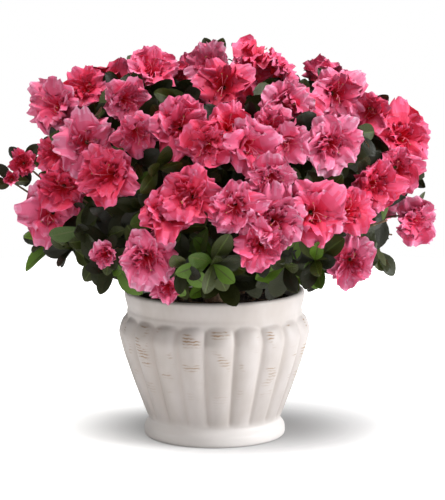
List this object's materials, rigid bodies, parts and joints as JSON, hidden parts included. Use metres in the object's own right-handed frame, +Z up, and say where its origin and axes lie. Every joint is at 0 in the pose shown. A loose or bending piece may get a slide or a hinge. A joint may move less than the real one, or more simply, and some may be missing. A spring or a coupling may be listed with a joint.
{
  "type": "potted azalea shrub",
  "caption": "Florist's azalea shrub in full double pink bloom, growing from a short stem in a white fluted ceramic pot that stands on its flat foot.",
  "frame": {"origin": "middle of the pot's flat underside, on the pot's axis", "axes": "+Z up along the pot's axis, the plant's front looks along -Y, +X to the right as seen from the front"},
  "size_m": [0.4047, 0.3358, 0.3715],
  "materials": {
    "glaze": "satin white glaze",
    "soil": "moist peaty soil",
    "bark": "rough brown bark",
    "blossom": "soft petals and satin leaves"
  },
  "bodies": {
    "root": {"pot": "glaze", "soil": "soil", "trunk": "bark", "bough_low_front": "bark", "bough_low_front_right": "bark", "bough_low_right": "bark", "bough_low_back_right": "bark", "bough_low_back": "bark", "bough_low_back_left": "bark", "bough_low_left": "bark", "bough_low_front_left": "bark", "bough_high_front": "bark", "bough_high_right": "bark", "bough_high_back_right": "bark", "bough_high_back_left": "bark", "bough_high_left": "bark", "bough_top_middle": "bark", "mass_low_front": "blossom", "mass_low_front_right": "blossom", "mass_low_right": "blossom", "mass_low_back_right": "blossom", "mass_low_back": "blossom", "mass_low_back_left": "blossom", "mass_low_left": "blossom", "mass_low_front_left": "blossom", "mass_high_front": "blossom", "mass_high_right": "blossom", "mass_high_back_right": "blossom", "mass_high_back_left": "blossom", "mass_high_left": "blossom", "mass_top_middle": "blossom"}
  },
  "joints": []
}
